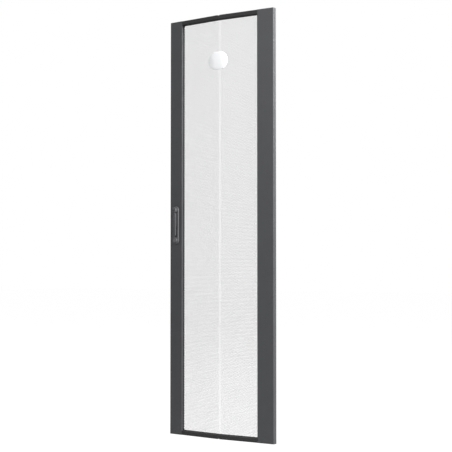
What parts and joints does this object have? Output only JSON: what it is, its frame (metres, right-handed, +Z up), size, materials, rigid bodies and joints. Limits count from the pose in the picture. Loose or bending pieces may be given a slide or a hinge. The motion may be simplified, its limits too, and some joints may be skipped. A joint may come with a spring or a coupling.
{
  "type": "perforated rack door",
  "caption": "Perforated door for an equipment rack: folded frame, creased ventilated panel, swing handle with lock that draws two latch rods, and lift-out hinges with a sprung upper pin.",
  "frame": {"origin": "on the hinge axis, at the shoulder that rests on the cabinet's lower hinge eye (the upper end of the lower hinge pin's free length)", "axes": "+Z up along the hinge axis; the front of the closed door faces -Y; the door reaches from the hinge axis towards -X"},
  "size_m": [0.597, 0.05, 1.97],
  "materials": {
    "powder_coat": "fine matte texture",
    "badge_plastic": "gloss",
    "handle_plastic": "fine texture",
    "gasket_rubber": "matte",
    "zinc_steel": "bright zinc",
    "zinc_casting": "die-cast zinc",
    "spring_steel": "bright",
    "guide_plastic": "moulded",
    "roller_plastic": "moulded",
    "lock_chrome": "polished"
  },
  "bodies": {
    "door": {"latch_stile": "powder_coat", "hinge_stile": "powder_coat", "top_rail": "powder_coat", "bottom_rail": "powder_coat", "perforated_panel": "powder_coat", "panel_rivets": "zinc_steel", "badge": "badge_plastic", "badge_clip": "spring_steel", "handle_base": "handle_plastic", "handle_gasket": "gasket_rubber", "handle_screws": "zinc_steel", "gearbox_housing": "zinc_casting", "gearbox_cover": "zinc_casting", "gearbox_screws": "zinc_steel", "gearbox_nut": "zinc_steel", "upper_rod_guide_mid": "guide_plastic", "upper_rod_guide_end": "guide_plastic", "lower_rod_guide_mid": "guide_plastic", "lower_rod_guide_end": "guide_plastic", "guide_nuts": "zinc_steel", "lower_hinge_bracket": "zinc_steel", "lower_hinge_pin": "zinc_steel", "upper_hinge_bracket": "zinc_steel", "hinge_spring": "spring_steel", "hinge_nuts": "zinc_steel", "ground_washer": "zinc_steel", "ground_nut": "zinc_steel", "bumpers": "gasket_rubber"},
    "spindle": {"handle_hub": "handle_plastic", "lever_pin": "zinc_steel", "pinion": "zinc_casting", "latch_cam": "zinc_steel", "spindle_washer": "zinc_steel", "spindle_screw": "zinc_steel"},
    "lever": {"handle_lever": "handle_plastic"},
    "lock": {"lock_cylinder": "lock_chrome", "lock_cam": "zinc_steel"},
    "upper_rod_body": {"upper_rod": "zinc_steel", "upper_roller_pin": "zinc_steel"},
    "upper_roller_body": {"upper_roller": "roller_plastic"},
    "lower_rod_body": {"lower_rod": "zinc_steel", "lower_roller_pin": "zinc_steel"},
    "lower_roller_body": {"lower_roller": "roller_plastic"},
    "hinge_pin_body": {"upper_hinge_pin": "zinc_steel", "hinge_knob": "handle_plastic"}
  },
  "joints": [
    {"name": "handle_turn", "type": "hinge", "parent": "door", "child": "spindle", "pos_m": [-0.54427, -0.01538, 1.004], "axis": [-0.0585, -0.9983, 0], "range_deg": [0, 90]},
    {"name": "handle_lift", "type": "hinge", "parent": "spindle", "child": "lever", "pos_m": [-0.5451, -0.02951, 1.001], "axis": [-0.9983, 0.0585, 0], "range_deg": [0, 35]},
    {"name": "lock_turn", "type": "hinge", "parent": "door", "child": "lock", "pos_m": [-0.54427, -0.01538, 0.86], "axis": [-0.0585, -0.9983, 0], "range_deg": [0, 90]},
    {"name": "upper_rod_slide", "type": "slide", "parent": "door", "child": "upper_rod_body", "axis": [0, 0, 1], "range_m": [-0.01885, 0]},
    {"name": "upper_roller_spin", "type": "hinge", "parent": "upper_rod_body", "child": "upper_roller_body", "pos_m": [-0.55864, -0.00422, 1.86], "axis": [0.9983, -0.0585, 0], "continuous": true},
    {"name": "lower_rod_slide", "type": "slide", "parent": "door", "child": "lower_rod_body", "axis": [0, 0, 1], "range_m": [0, 0.01885]},
    {"name": "lower_roller_spin", "type": "hinge", "parent": "lower_rod_body", "child": "lower_roller_body", "pos_m": [-0.52869, -0.00598, -0.01], "axis": [0.9983, -0.0585, 0], "continuous": true},
    {"name": "hinge_pin_draw", "type": "slide", "parent": "door", "child": "hinge_pin_body", "axis": [0, 0, -1], "range_m": [0, 0.014], "stiffness_N_per_m": 600, "springref_m": -0.012, "deforming": ["hinge_spring"]}
  ],
  "couplings": [
    {"joint": "upper_rod_slide", "follows": "handle_turn", "m_per_rad": -0.012},
    {"joint": "lower_rod_slide", "follows": "handle_turn", "m_per_rad": 0.012}
  ]
}
